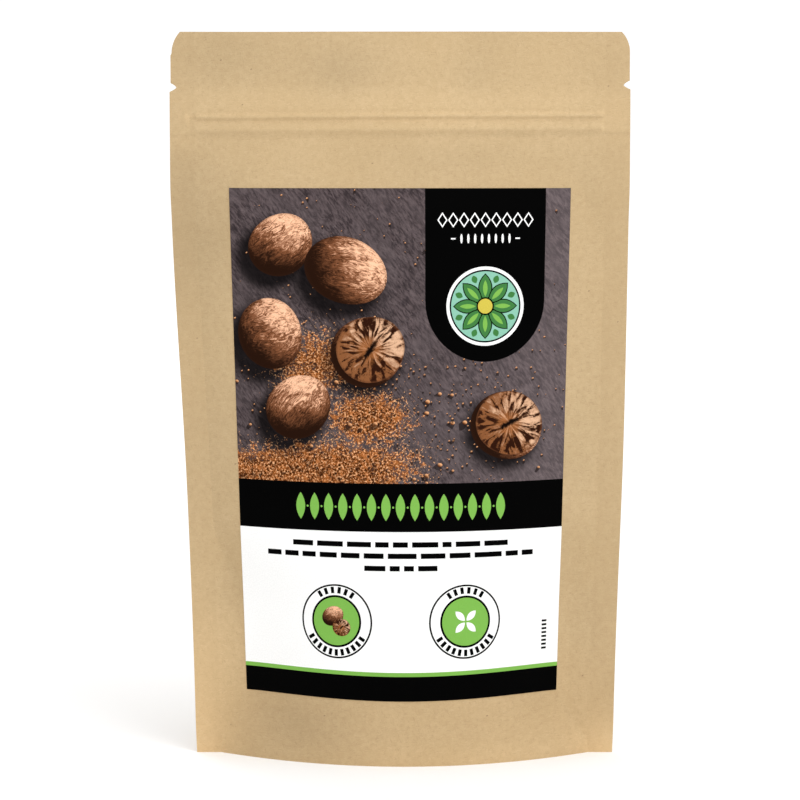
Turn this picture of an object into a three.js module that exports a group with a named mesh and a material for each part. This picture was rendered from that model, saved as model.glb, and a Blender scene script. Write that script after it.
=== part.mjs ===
// A shut stand-up pouch of brown kraft paper film, with a paper label on its front.
//
// The pouch is made from two flat panels welded together down both sides and across the top. A press-to-close
// zip runs across it below the header, and a third panel, folded inwards, joins the front and back skirts
// underneath, so that the filled pouch stands on the rim of its skirts. The contents can't be seen into, so the
// pouch is one solid from its film inwards. The label is a second, thin solid that follows the front.
//
// Millimetres, +Z up. The front looks along -Y and +X is to its right. The origin is on the ground under the
// middle of the header.

import * as THREE from 'three';
import { mergeVertices } from 'three/addons/utils/BufferGeometryUtils.js';

// ---- Driving dimensions ------------------------------------------------------------------------------------

const POUCH_WIDTH = 130; // laid flat, over the side seals
const POUCH_HEIGHT = 206.4; // ground to top edge
const SEAL_WIDTH = 7; // weld down each side
const SHEET = 0.8; // two plies pressed together, drawn thick enough to handle

const BULGE_DEPTH = 20.9; // the front stands this far out from the middle plane at the ground
const BULGE_TOP = 173; // height where front and back meet
const BULGE_ROUNDNESS = [1.45, 0.75]; // exponents of the side profile
const BULGE_RUN_OUT = 20; // length over which the profile eases into the flat header
const SKIRT_FLARE = 0.5; // the hem of the skirt turns out by this much
const SKIRT_FLARE_HEIGHT = 12;
const CURVE_TAKE_UP = 2.8; // width lost to the curve, as a multiple of bulge squared over film width

const EAR_MARGIN = 6; // flat strip inside each seal, where the folded gusset holds front and back together
const EAR_TOP = 40; // height of the gusset fold
const EAR_FADE = 30; // the flat strip fades out over this height above the fold
const EAR_RISE = 14; // and fades in over this height above the ground
const EAR_EASE = 0.4; // how softly the bulge runs out into the flat strip

const SWAY = 1.3; // the filled body hangs this far to the right of the header
const SWAY_FROM = 165;
const SWAY_SPAN = 95;

const CORNER_RADIUS = 8.4; // top corners
const CORNER_HEIGHT = 6.6; // part of that radius left below the trimmed top edge
const NOTCH_DEPTH = 1.9; // tear notches
const NOTCH_HALF_HEIGHT = 1.25;
const NOTCH_AT = { left: 190.7, right: 191.4 };

const ZIP = { bottom: 176.6, top: 187.6, slope: 0.5, proud: 0.25 }; // the zip's flat strip
const ZIP_RIBS = [178.8, 182.6]; // heights of its two tracks
const ZIP_RIB = { halfHeight: 0.75, proud: 0.55 };

const GUSSET = { weld: 6, fold: 36, steepness: 2.6, crease: 3.4, sag: 3.4, reach: 0.93, wall: 0.8 };

const LABEL = { width: 96.6, bottom: 18.5, top: 162.3, thickness: 0.4, gap: 0.3 };

const COLUMNS = 22; // panels across the film between the seals
const LABEL_COLUMNS = 18;
const LABEL_ROWS = 26;
const ARC_STEP = 0.25; // step of the walk along the film that lays the label
const MIN_ROW_STEP = 0.05; // rows closer than this are one row
const GUSSET_INSET = 2; // columns between each seal and the hollow under the gusset
const SKIRT_ROWS = 6;
const ROOF_ROWS = 8;

const KRAFT_COLOUR = '#d0b48a';
const LABEL_COLOUR = '#f2f2f0';

// ---- Small helpers -----------------------------------------------------------------------------------------

const clamp01 = (t) => Math.min(1, Math.max(0, t));
const smooth = (t) => clamp01(t) ** 2 * (3 - 2 * clamp01(t));
const mix = (a, b, t) => a + (b - a) * t;

// count + 1 evenly spaced values from a to b.
const span = (a, b, count) => Array.from({ length: count + 1 }, (_, i) => mix(a, b, i / count));

// ---- The shape of the filled film --------------------------------------------------------------------------

const FILM_WIDTH = POUCH_WIDTH - 2 * SEAL_WIDTH;

// How far the front stands out from the middle plane, on the centre line.
function bulge(z) {
  const [inner, outer] = BULGE_ROUNDNESS;
  const side = (1 - clamp01(z / BULGE_TOP) ** inner) ** outer;
  const flare = SKIRT_FLARE * clamp01(1 - z / SKIRT_FLARE_HEIGHT) ** 2;
  return BULGE_DEPTH * side * smooth((BULGE_TOP - z) / BULGE_RUN_OUT) + flare;
}

// Sideways place of the centre line.
const sway = (z) => SWAY * smooth((SWAY_FROM - z) / SWAY_SPAN);

// Half the distance between the seals: a bulged film spans less than a flat one.
const halfSpan = (z) => (FILM_WIDTH - (CURVE_TAKE_UP * bulge(z) ** 2) / FILM_WIDTH) / 2;

// 1 where the folded gusset holds the margins flat, 0 away from it.
const ear = (z) => smooth(z / EAR_RISE) * (1 - smooth((z - EAR_TOP) / EAR_FADE));

// Half the width of the bulged part of the panel.
const halfBump = (z) => halfSpan(z) - EAR_MARGIN * ear(z);

// Share of the bulge that is reached at x.
function crown(x, z) {
  const across = (x - sway(z)) / halfBump(z);
  return Math.max(0, 1 - across ** 2) ** (1 + EAR_EASE * ear(z));
}

// Height of the zip's strip and tracks above the film.
function zipRelief(z) {
  const strip = Math.min((z - ZIP.bottom) / ZIP.slope, (ZIP.top - z) / ZIP.slope);
  const rib = (at) => ZIP_RIB.proud * clamp01(1 - Math.abs(z - at) / ZIP_RIB.halfHeight);
  return ZIP.proud * clamp01(strip) + ZIP_RIBS.reduce((sum, at) => sum + rib(at), 0);
}

// Distance of the film's outer face from the middle plane. The back is its mirror image.
function skin(x, z) {
  const betweenSeals = Math.abs(x - sway(z)) < halfSpan(z) + 0.01;
  return SHEET / 2 + bulge(z) * crown(x, z) + (betweenSeals ? zipRelief(z) : 0);
}

// Distance from the centre line to the pouch's edge, with the rounded corner and the tear notch cut away.
function halfWidth(z, side) {
  const aboveFoot = Math.max(0, z - (POUCH_HEIGHT - CORNER_HEIGHT));
  const corner = CORNER_RADIUS - Math.sqrt(CORNER_RADIUS ** 2 - aboveFoot ** 2);
  const notch = NOTCH_DEPTH * clamp01(1 - Math.abs(z - NOTCH_AT[side]) / NOTCH_HALF_HEIGHT);
  return halfSpan(z) + SEAL_WIDTH - corner - notch;
}

// ---- Meshes ------------------------------------------------------------------------------------------------

// A patch of facets over a grid of points. Its outside is the side that i x j points to, where i runs along a
// row and j from row to row.
function patch(grid) {
  const triangles = [];
  for (let j = 0; j < grid.length - 1; j++) {
    for (let i = 0; i < grid[j].length - 1; i++) {
      const corners = [grid[j][i], grid[j][i + 1], grid[j + 1][i + 1], grid[j + 1][i]];
      triangles.push([corners[0], corners[1], corners[2]], [corners[0], corners[2], corners[3]]);
    }
  }
  return triangles;
}

const reversed = (row) => [...row].reverse();

// One geometry from patches that meet edge to edge. A triangle whose corners fall together is left out.
function sewn(patches) {
  const positions = patches.flat(2).flatMap((p) => [p.x, p.y, p.z]);
  const loose = new THREE.BufferGeometry();
  loose.setAttribute('position', new THREE.Float32BufferAttribute(positions, 3));
  const geometry = mergeVertices(loose, 1e-4);
  const index = geometry.index.array;
  const kept = [];
  for (let k = 0; k < index.length; k += 3) {
    const corners = [index[k], index[k + 1], index[k + 2]];
    if (new Set(corners).size === 3) kept.push(...corners);
  }
  geometry.setIndex(kept);
  return geometry;
}

// The patches over a front and a back sheet of points, with the walls that join them at the sides and the top.
function sheetPatches(front, back) {
  const last = front[0].length - 1;
  return [
    patch(front),
    patch(back.map(reversed)),
    patch(front.map((row, j) => [back[j][0], row[0]])),
    patch(front.map((row, j) => [row[last], back[j][last]])),
    patch([front.at(-1), back.at(-1)]),
  ];
}

function named(name, geometry, colour) {
  geometry.computeVertexNormals();
  const material = new THREE.MeshStandardMaterial({ color: colour, roughness: 0.75, metalness: 0 });
  const mesh = new THREE.Mesh(geometry, material);
  mesh.name = name;
  return mesh;
}

// ---- The pouch ---------------------------------------------------------------------------------------------

// Places of the film's columns between the seals, from -1 to 1, closer together towards the seals.
const filmColumns = span(-1, 1, COLUMNS).map((t) => Math.sin((t * Math.PI) / 2));

// Heights of the rows of points, closer where the film bends: at the hem, the zip, the notches and the corners.
function filmRows() {
  const cornerFoot = POUCH_HEIGHT - CORNER_HEIGHT;
  const strip = [ZIP.bottom, ZIP.bottom + ZIP.slope, ZIP.top - ZIP.slope, ZIP.top];
  const ribs = ZIP_RIBS.flatMap((at) => [at - ZIP_RIB.halfHeight, at, at + ZIP_RIB.halfHeight]);
  const aroundNotch = [-NOTCH_HALF_HEIGHT, 0, NOTCH_HALF_HEIGHT];
  const notches = Object.values(NOTCH_AT).flatMap((at) => aroundNotch.map((shift) => at + shift));
  const corner = span(0, 1, 5).map((t) => mix(cornerFoot, POUCH_HEIGHT, Math.sin((t * Math.PI) / 2)));
  const body = [...span(0, EAR_RISE, 4), ...span(EAR_RISE, 154, 24), ...span(154, BULGE_TOP, 6)];
  const rows = [...body, ...strip, ...ribs, ...notches, ...corner];
  return rows.sort((a, b) => a - b).filter((z, j, all) => j === 0 || z - all[j - 1] > MIN_ROW_STEP);
}

// One row of the film's outer points at height z: seal edge, panel, seal edge. face is -1 in front, 1 behind.
function filmRow(z, face) {
  const sealEdge = (x) => new THREE.Vector3(x, (face * SHEET) / 2, z);
  const panel = filmColumns.map((across) => {
    const x = sway(z) + halfSpan(z) * across;
    return new THREE.Vector3(x, face * skin(x, z), z);
  });
  return [sealEdge(sway(z) - halfWidth(z, 'left')), ...panel, sealEdge(sway(z) + halfWidth(z, 'right'))];
}

// Height of the gusset's underside. Its weld to the skirts is low in the middle and climbs to the fold at the
// sides. Between the two skirts the gusset keeps a crease along X, and sags on both sides of it.
// across and along run from -1 to 1 over the standing base.
function gussetHeight(across, along) {
  const weld = mix(GUSSET.weld, GUSSET.fold, Math.abs(across) ** GUSSET.steepness);
  const crease = GUSSET.crease * (1 - Math.abs(along));
  const sag = GUSSET.sag * (1 - across ** 2) * Math.sin(Math.PI * Math.abs(along));
  return weld + crease - sag;
}

// Rows of points that rise up the inside of the front skirt, cross the gusset and come down the back skirt.
function underside() {
  const inner = filmColumns.slice(GUSSET_INSET, -GUSSET_INSET);
  const columns = inner.map((across) => across / inner.at(-1));
  const row = (along, up) => columns.map((across) => {
    const z = up * gussetHeight(across, along);
    const x = sway(z) + across * GUSSET.reach * halfBump(z);
    return new THREE.Vector3(x, along * (skin(x, z) - GUSSET.wall), z);
  });
  return [
    ...span(0, 1, SKIRT_ROWS).map((up) => row(-1, up)),
    ...span(-1, 1, ROOF_ROWS).slice(1, -1).map((along) => row(along, 1)),
    ...span(1, 0, SKIRT_ROWS).map((up) => row(1, up)),
  ];
}

// The ground side of the pouch: the rim of the two skirts, the flat corners and the hollow under the gusset.
function basePatches(front, back) {
  const arch = underside();
  const [frontHem, backHem] = [arch[0], arch.at(-1)];
  const foot = GUSSET_INSET + 1; // the seal edge is one column more
  const end = front.length - 1 - foot;
  const last = frontHem.length - 1;
  const frontHalf = arch.slice(0, (arch.length + 1) / 2);
  const opposite = (j) => arch[arch.length - 1 - j]; // the row behind that faces row j in front
  return [
    patch(arch.map(reversed)),
    patch(frontHalf.map((row, j) => [row[0], opposite(j)[0]])),
    patch(frontHalf.map((row, j) => [opposite(j)[last], row[last]])),
    patch([frontHem, front.slice(foot, end + 1)]),
    patch([back.slice(foot, end + 1), backHem]),
    patch([back.slice(0, foot + 1), front.slice(0, foot + 1)]),
    patch([back.slice(end), front.slice(end)]),
    patch([[back[foot], backHem[0]], [front[foot], frontHem[0]]]),
    patch([[backHem[last], back[end]], [frontHem[last], front[end]]]),
  ];
}

function pouch() {
  const rows = filmRows();
  const front = rows.map((z) => filmRow(z, -1));
  const back = rows.map((z) => filmRow(z, 1));
  return named('pouch', sewn([...sheetPatches(front, back), ...basePatches(front[0], back[0])]), KRAFT_COLOUR);
}

// ---- The label ---------------------------------------------------------------------------------------------

// The x that lies a distance along the film from the middle, at height z.
function xAlongFilm(distance, z) {
  const direction = Math.sign(distance);
  let x = 0;
  let walked = 0;
  while (walked < Math.abs(distance)) {
    const step = Math.min(ARC_STEP, Math.abs(distance) - walked);
    const slope = (skin(x + ARC_STEP, z) - skin(x - ARC_STEP, z)) / (2 * ARC_STEP);
    x += (direction * step) / Math.hypot(1, slope);
    walked += step + 1e-9;
  }
  return x;
}

// A point lifted off the front film along its outward normal.
function overFilm(x, z, lift) {
  const slopeX = (skin(x + ARC_STEP, z) - skin(x - ARC_STEP, z)) / (2 * ARC_STEP);
  const slopeZ = (skin(x, z + ARC_STEP) - skin(x, z - ARC_STEP)) / (2 * ARC_STEP);
  const normal = new THREE.Vector3(-slopeX, -1, -slopeZ).normalize();
  return new THREE.Vector3(x, -skin(x, z), z).addScaledVector(normal, lift);
}

function label() {
  const across = span(-LABEL.width / 2, LABEL.width / 2, LABEL_COLUMNS);
  const heights = span(LABEL.bottom, LABEL.top, LABEL_ROWS);
  const sheet = (lift) => heights.map((z) => across.map((a) => overFilm(xAlongFilm(a, z), z, lift)));
  const face = sheet(LABEL.gap + LABEL.thickness);
  const glued = sheet(LABEL.gap);
  return named('label', sewn([...sheetPatches(face, glued), patch([glued[0], face[0]])]), LABEL_COLOUR);
}

// ---- The object --------------------------------------------------------------------------------------------

const nutmegPouch = new THREE.Group();
nutmegPouch.name = 'nutmeg_pouch';
nutmegPouch.add(pouch(), label());

export default nutmegPouch;
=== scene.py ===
# %% [markdown]
# # A kraft stand-up pouch of whole nutmegs
# The pouch is a bag of brown kraft paper film, filled and shut, that stands on its own folded base. A paper
# label covers most of its front. This notebook dresses the two plain solids of the part, the pouch and its
# label, with the finish of the real pack: creased film, a press-to-close zip, matt fibrous paper and print.
#
# The packed part comes first, because everything else has to sit exactly where its solids are. All lengths
# below are written in millimetres, as a pack maker would, and are turned into metres when a mesh is made.

# %% Load the part
import math

import bpy
import numpy as np
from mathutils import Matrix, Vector
from mathutils.geometry import delaunay_2d_cdt


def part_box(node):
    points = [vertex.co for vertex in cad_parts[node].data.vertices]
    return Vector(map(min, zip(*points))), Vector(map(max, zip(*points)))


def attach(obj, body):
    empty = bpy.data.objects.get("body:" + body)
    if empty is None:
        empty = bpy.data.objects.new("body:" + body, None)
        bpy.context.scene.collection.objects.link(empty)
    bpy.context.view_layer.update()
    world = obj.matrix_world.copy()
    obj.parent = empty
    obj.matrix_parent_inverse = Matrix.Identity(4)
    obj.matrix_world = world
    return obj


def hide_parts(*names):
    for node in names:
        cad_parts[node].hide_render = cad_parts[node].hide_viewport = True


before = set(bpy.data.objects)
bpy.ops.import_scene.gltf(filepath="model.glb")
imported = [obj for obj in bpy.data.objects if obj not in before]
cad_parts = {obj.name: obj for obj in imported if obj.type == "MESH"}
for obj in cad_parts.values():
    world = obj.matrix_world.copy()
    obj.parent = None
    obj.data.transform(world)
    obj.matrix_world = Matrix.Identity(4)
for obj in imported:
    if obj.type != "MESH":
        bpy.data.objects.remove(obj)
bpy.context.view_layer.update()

MM = 0.001
pouch_low, pouch_high = (np.array(corner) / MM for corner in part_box("pouch"))
label_low, label_high = (np.array(corner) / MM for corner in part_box("label"))
print("pouch, mm:", np.round(pouch_high - pouch_low, 1), "label, mm:", np.round(label_high - label_low, 1))

# %% [markdown]
# ## The camera and the light
# A pack shot is taken from far off with a long lens, so that the pouch's edges stay nearly parallel, and from
# a little above. A long lens could be had by cropping a normal one, but a real focal length keeps the
# perspective of the oval base right. The camera comes first so that each later step can be checked in it.

# %% Camera
CAMERA_DISTANCE = 1500.0
CAMERA_ELEVATION = math.radians(7.4)
PIXELS_PER_MM = 3.517       # in the plane through the middle of the pouch
FRAME_PIXELS = 800
SENSOR = 36.0
AIM_HEIGHT = 101.75         # height of the point in the middle of the frame
FAR_CLIP = 100.0            # metres


def placed(name, data):
    """A new object that carries the data, put into the scene."""
    made = bpy.data.objects.new(name, data)
    bpy.context.collection.objects.link(made)
    return made


camera_data = bpy.data.cameras.new("camera")
camera_data.sensor_width = SENSOR
camera_data.lens = SENSOR * PIXELS_PER_MM * CAMERA_DISTANCE / FRAME_PIXELS
camera_data.clip_end = FAR_CLIP
camera = placed("camera", camera_data)
camera.location = Vector((0, -CAMERA_DISTANCE * math.cos(CAMERA_ELEVATION),
                          AIM_HEIGHT + CAMERA_DISTANCE * math.sin(CAMERA_ELEVATION))) * MM
camera.rotation_euler = (math.pi / 2 - CAMERA_ELEVATION, 0, 0)
bpy.context.scene.camera = camera
print("lens, mm:", round(camera_data.lens, 1))

# %% Lights and colour
LIGHTS_AIM = (0, 0, 0.1)    # metres, the middle of the pouch
# name, place and size in metres, power in watts
SOFTBOXES = (
    ("key softbox", (0.42, -0.62, 0.72), 0.55, 2.5),
    ("top softbox", (0.08, -0.32, 1.05), 0.4, 1.85),
    ("back softbox", (-0.4, 0.9, 0.8), 0.6, 2.5),
)
STUDIO_UP = (0.06, 0.25)    # how far up a direction points, 0 level and 1 upright
STUDIO_LIGHT = (1.03, 0.815)    # how bright the studio is in those directions

for name, place, size, power in SOFTBOXES:
    light = bpy.data.lights.new(name, "AREA")
    light.size = size
    light.energy = power
    lamp = placed(name, light)
    lamp.location = place
    lamp.rotation_euler = (Vector(LIGHTS_AIM) - Vector(place)).to_track_quat("-Z", "Y").to_euler()

world = bpy.data.worlds.new("white studio")
bpy.context.scene.world = world
world.use_nodes = True
studio = world.node_tree
sky_parts = studio.nodes.new("ShaderNodeSeparateXYZ")
studio.links.new(studio.nodes.new("ShaderNodeTexCoord").outputs["Generated"], sky_parts.inputs[0])
sky_level = studio.nodes.new("ShaderNodeMapRange")
sky_level.interpolation_type = "SMOOTHSTEP"
for key, number in zip(("From Min", "From Max", "To Min", "To Max"), STUDIO_UP + STUDIO_LIGHT):
    sky_level.inputs[key].default_value = number
studio.links.new(sky_parts.outputs[2], sky_level.inputs["Value"])
studio.links.new(sky_level.outputs["Result"], studio.nodes["Background"].inputs["Strength"])
studio.nodes["Background"].inputs["Color"].default_value = (1, 1, 1, 1)
bpy.context.scene.view_settings.view_transform = "Standard"
print("lights:", len(bpy.data.lights))

# %% [markdown]
# ## The shape of the filled film
# Paper film bends but hardly stretches. Filled, the front panel bows out like a lens between its two side
# seals, most at the ground and less and less up to the flat header. The shape could come from a cloth
# simulation, but a few formulas give the same clean curve, keep it inside the solid part and run at once.
#
# Two things break the plain lens. Beside each seal, up to the fold of the gusset, front and back are held
# together, which leaves a flat "ear". And the filled body hangs a millimetre to one side of the header.

# %% Sizes of the pouch
POUCH_HEIGHT = pouch_high[2]
POUCH_WIDTH = pouch_high[0] - pouch_low[0]
SEAL_WIDTH = 7.0
FILM_WIDTH = POUCH_WIDTH - 2 * SEAL_WIDTH
SHEET = 0.7                 # two plies pressed together
BULGE_DEPTH = 20.9
BULGE_TOP = 173.0
BULGE_ROUNDNESS = (1.45, 0.75)
BULGE_RUN_OUT = 20.0
SKIRT_FLARE = 0.5
SKIRT_FLARE_HEIGHT = 12.0
CURVE_TAKE_UP = 2.8
EAR_MARGIN = 6.0
EAR_TOP = 40.0
EAR_FADE = 30.0
EAR_RISE = 14.0
EAR_EASE = 0.4
SWAY = 1.3
SWAY_FROM = 165.0
SWAY_SPAN = 95.0
print("film between the seals, mm:", round(FILM_WIDTH, 1))


# %% Formulas of the film
def clamp01(t):
    return np.clip(t, 0.0, 1.0)


def smooth(t):
    """Eases from 0 to 1."""
    return clamp01(t) ** 2 * (3 - 2 * clamp01(t))


def hump(value, middle, width):
    """A soft bell, 1 at its middle."""
    return np.exp(-((value - middle) / width) ** 2)


def bulge(z):
    """How far the front stands out from the middle plane, on the centre line."""
    inner, outer = BULGE_ROUNDNESS
    side = (1 - clamp01(z / BULGE_TOP) ** inner) ** outer
    flare = SKIRT_FLARE * clamp01(1 - z / SKIRT_FLARE_HEIGHT) ** 2
    return BULGE_DEPTH * side * smooth((BULGE_TOP - z) / BULGE_RUN_OUT) + flare


def sway(z):
    return SWAY * smooth((SWAY_FROM - z) / SWAY_SPAN)


def half_span(z):
    """Half the distance between the seals: bowed film spans less than flat film."""
    return (FILM_WIDTH - CURVE_TAKE_UP * bulge(z) ** 2 / FILM_WIDTH) / 2


def ear(z):
    return smooth(z / EAR_RISE) * (1 - smooth((z - EAR_TOP) / EAR_FADE))


def half_bump(z):
    return half_span(z) - EAR_MARGIN * ear(z)


def crown(x, z):
    """Share of the bulge that is reached at x."""
    across = (x - sway(z)) / half_bump(z)
    return np.maximum(0.0, 1 - across ** 2) ** (1 + EAR_EASE * ear(z))


print("bulge at the ground, mm:", round(float(bulge(0.0)), 2))

# %% [markdown]
# ## Creases and waves
# A real pouch is never as smooth as a formula. The stiff header waves a little, both plies together. The film
# puckers where the bulge meets the zip and the seals, and the zip shows through it. These are low, soft
# forms, so they are sums of a few listed bells and waves. A noise texture would be quicker but would
# put dents where nothing pulls.

# %% Waves of the header and puckers of the film
WAVES_FROM = 160.0
WAVES_SPAN = 46.0
# height, shift, slant and length of each wave of the header, millimetres
WAVES = ((0.7, 22.0, 0.0, 118.0), (0.2, 0.0, 1.0, 47.0))

# x, z, half width, half height, depth of each pucker in the front film, millimetres
PUCKERS = (
    (-52.0, 162.0, 4.5, 11.0, -1.0),
    (55.5, 163.0, 4.5, 10.0, -1.0),
    (-30.0, 168.5, 16.0, 3.4, -0.35),
    (24.0, 169.0, 18.0, 3.0, -0.3),
)


def header_wave(x, z):
    """Both plies of the header swing off the middle plane together."""
    waves = sum(tall * np.sin(2 * np.pi * (x + shift - slant * z) / length)
                for tall, shift, slant, length in WAVES)
    return smooth((z - WAVES_FROM) / WAVES_SPAN) * waves


def bells(table, x, z):
    """The sum of soft bells, each a row of x, z, half width, half height and amount."""
    return sum(amount * hump(x, at_x, wide) * hump(z, at_z, tall)
               for at_x, at_z, wide, tall, amount in table)


print("wave at the top, mm:", round(float(header_wave(0.0, POUCH_HEIGHT)), 2))

# %% The zip under the film
ZIP_TILT = 0.005            # the tracks climb a little to the right
ZIP_ENDS = (-58.6, 57.8)
ZIP_RUN_OUT = (1.3, 1.1)
STRIP_LIFT = 0.55
STRIP = (175.9, 191.5)
STRIP_EASE = (3.2, 6.5)
UPPER_LIFT = 0.46
UPPER_TRACK = (181.75, 183.75)
UPPER_EASE = (0.8, 0.9)
# height, half height and lift of the lower track, and of the grooves beside both tracks
SOFT_LINES = ((179.0, 1.1, 0.3), (176.9, 1.3, -0.1), (184.0, 0.4, -0.08), (181.6, 0.5, -0.2))
SEALED_STRIP = 0.45         # share of the strip, and of the tracks, that still shows in the seals
SEALED_TRACKS = 0.06
CRUSHED_LIFT = 0.14         # the ends of the zip, crushed in the seals
CRUSHED = (177.3, 187.4)
CRUSHED_EASE = (0.5, 0.5)
CREASE_LIFT = 0.6           # one small slanting crease at the left end
CREASE_AT = (-59.95, 182.0)
CREASE_SIZE = (0.42, 1.2)
CREASE_LEAN = 0.3


def plateau(value, ends, eases):
    """Rises from 0 to 1 behind the first end, and falls to 0 before the second."""
    return smooth((value - ends[0]) / eases[0]) * smooth((ends[1] - value) / eases[1])


def zip_relief(x, z):
    """A flat strip with a sharp upper track and a soft lower one."""
    level = z - ZIP_TILT * x
    inner = plateau(x, ZIP_ENDS, ZIP_RUN_OUT)
    strip = STRIP_LIFT * smooth((STRIP[1] - z) / STRIP_EASE[1]) * smooth((level - STRIP[0]) / STRIP_EASE[0])
    tracks = UPPER_LIFT * plateau(level, UPPER_TRACK, UPPER_EASE)
    tracks = tracks + sum(lift * hump(level, at, tall) for at, tall, lift in SOFT_LINES)
    crushed = CRUSHED_LIFT * plateau(level, CRUSHED, CRUSHED_EASE) * (1 - inner)
    crease_x = CREASE_AT[0] + CREASE_LEAN * (level - CREASE_AT[1])
    crease = CREASE_LIFT * hump(x, crease_x, CREASE_SIZE[0]) * hump(level, CREASE_AT[1], CREASE_SIZE[1])
    shown_strip = strip * (SEALED_STRIP + (1 - SEALED_STRIP) * inner)
    shown_tracks = tracks * (SEALED_TRACKS + (1 - SEALED_TRACKS) * inner)
    return shown_strip + shown_tracks + crushed + crease


print("zip's greatest lift, mm:", round(float(zip_relief(0.0, np.linspace(170, 195, 251)).max()), 2))

# %% Faces of the film
PUCKER_STEEPNESS = 8.0      # how quickly the puckers fade in beside the seals


def soft_skin(x, z):
    """Distance of the film's outer face from the middle plane, without puckers and zip."""
    return SHEET / 2 + bulge(z) * crown(x, z)


def puckered_skin(x, z, pucker):
    return np.maximum(soft_skin(x, z) + pucker * smooth(crown(x, z) * PUCKER_STEEPNESS), SHEET / 2)


def front_film(x, z):
    """The y of the front film, without the zip."""
    return header_wave(x, z) - puckered_skin(x, z, bells(PUCKERS, x, z))


def front_face(x, z):
    return front_film(x, z) - zip_relief(x, z)


def back_face(x, z):
    """The back has the mirrored puckers of the front."""
    return header_wave(x, z) + puckered_skin(x, z, bells(PUCKERS, -x, z)) + zip_relief(x, z)


print("front at mid height, mm:", round(float(front_face(0.0, POUCH_HEIGHT / 2)), 2))

# %% [markdown]
# ## The outline
# The top corners are punched round, and a small tear notch is cut in each side just above the zip. Both are
# part of the outline, so they are made by moving the edge of the grid of points. Cutting them with booleans
# would leave long thin triangles in the thin film.

# %% Edge of the pouch
CORNER_RADIUS = {"left": 9.0, "right": 8.0}
CORNER_HEIGHT = {"left": 6.1, "right": 5.6}
CORNER_STEP = {"left": 0.3, "right": 0.0}       # a small step where the corner's cut meets the side's
CORNER_STEP_RUN = 0.5
NOTCH_DEPTH = 1.9
NOTCH_HALF_HEIGHT = 1.25
NOTCH_ROUNDNESS = 1.5
NOTCH_AT = {"left": 190.7, "right": 191.4}
HEADER_TRIM = {"left": 0.3, "right": 0.2}       # the film above the notches is cut a little narrower


def half_width(z, side):
    """Distance of a side edge from the middle of the body."""
    radius = CORNER_RADIUS[side]
    foot = POUCH_HEIGHT - CORNER_HEIGHT[side]
    corner = radius - np.sqrt(radius ** 2 - np.maximum(0.0, z - foot) ** 2)
    corner = corner + CORNER_STEP[side] * smooth((z - foot) / CORNER_STEP_RUN + 1)
    from_notch = np.abs(z - NOTCH_AT[side]) / NOTCH_HALF_HEIGHT
    notch = NOTCH_DEPTH * (1 - clamp01(from_notch) ** NOTCH_ROUNDNESS)
    trim = HEADER_TRIM[side] * smooth((z - NOTCH_AT[side]) / NOTCH_HALF_HEIGHT)
    return half_span(z) + SEAL_WIDTH - corner - notch - trim


print("half widths at the top, mm:", [round(float(half_width(POUCH_HEIGHT, side)), 2) for side in NOTCH_AT])

# %% Rows and columns of the film
CORNER_FOOT = POUCH_HEIGHT - 6.6
# from, to and largest step of each run of rows, millimetres; they lie closest at the zip
ROW_RUNS = ((0, 2, 0.5), (2, 175, 1.15), (175, 189.3, 0.22), (192.8, CORNER_FOOT, 1.0))
CORNER_ROWS = 20
NOTCH_ROWS = 11
LEAST_ROW_GAP = 0.02
FILM_COLUMNS = 117
SEAL_COLUMNS = 19


def steps(start, end, size):
    """Evenly spaced values from start to end, no further apart than size."""
    return np.linspace(start, end, int(math.ceil((end - start) / size)) + 1)


corner_rows = CORNER_FOOT + (POUCH_HEIGHT - CORNER_FOOT) * np.sin(np.linspace(0, np.pi / 2, CORNER_ROWS))
notch_rows = np.add.outer(list(NOTCH_AT.values()), NOTCH_HALF_HEIGHT * np.linspace(-1, 1, NOTCH_ROWS)).ravel()
film_rows = np.concatenate([steps(*run) for run in ROW_RUNS] + [corner_rows, notch_rows])
film_rows = np.unique(np.round(film_rows, 3))
film_rows = film_rows[np.concatenate([[True], np.diff(film_rows) > LEAST_ROW_GAP])]
film_columns = np.sin(np.linspace(-np.pi / 2, np.pi / 2, FILM_COLUMNS))
seal_columns = np.linspace(0, 1, SEAL_COLUMNS)
print("rows:", len(film_rows), "columns:", len(film_columns) + 2 * len(seal_columns) - 2)

# %% [markdown]
# ## Sewing the pouch
# The front and the back are two grids of points with the same rows and columns, joined by narrow strips down
# the sides and along the top. Underneath, the rim of each skirt turns inwards to the gusset, which is low in
# the middle, climbs to its fold at the sides and keeps a crease across the base. One mesh holds it all, so
# the film has no open edge and its thickness can be seen.


# %% Grids of points
def film_x():
    """x of every point of the film, one row for each height."""
    rows = []
    for z in film_rows:
        middle, span = sway(z), half_span(z)
        left, right = half_width(z, "left"), half_width(z, "right")
        rows.append(np.concatenate([
            middle - left + (left - span) * seal_columns[:-1],
            middle + span * film_columns,
            middle + span + (right - span) * seal_columns[1:]]))
    return np.array(rows)


grid_x = film_x()
grid_z = np.repeat(film_rows[:, None], grid_x.shape[1], axis=1)
front_grid = np.stack([grid_x, front_face(grid_x, grid_z), grid_z], axis=-1)
back_grid = np.stack([grid_x, back_face(grid_x, grid_z), grid_z], axis=-1)
print("film points on each face:", grid_x.shape)

# %% The gusset
GUSSET_WELD = 6.0
GUSSET_FOLD = 36.0
GUSSET_STEEPNESS = 2.6
GUSSET_CREASE = 3.4
GUSSET_SAG = 3.4
GUSSET_REACH = 0.93
GUSSET_INSET = 12           # film columns between each seal and the hollow under the gusset
GUSSET_WALL_ROWS = 17
GUSSET_ROWS = 25
SKIRT_WALL = 0.5

gusset_columns = film_columns[GUSSET_INSET:-GUSSET_INSET] / film_columns[-1 - GUSSET_INSET]


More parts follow.
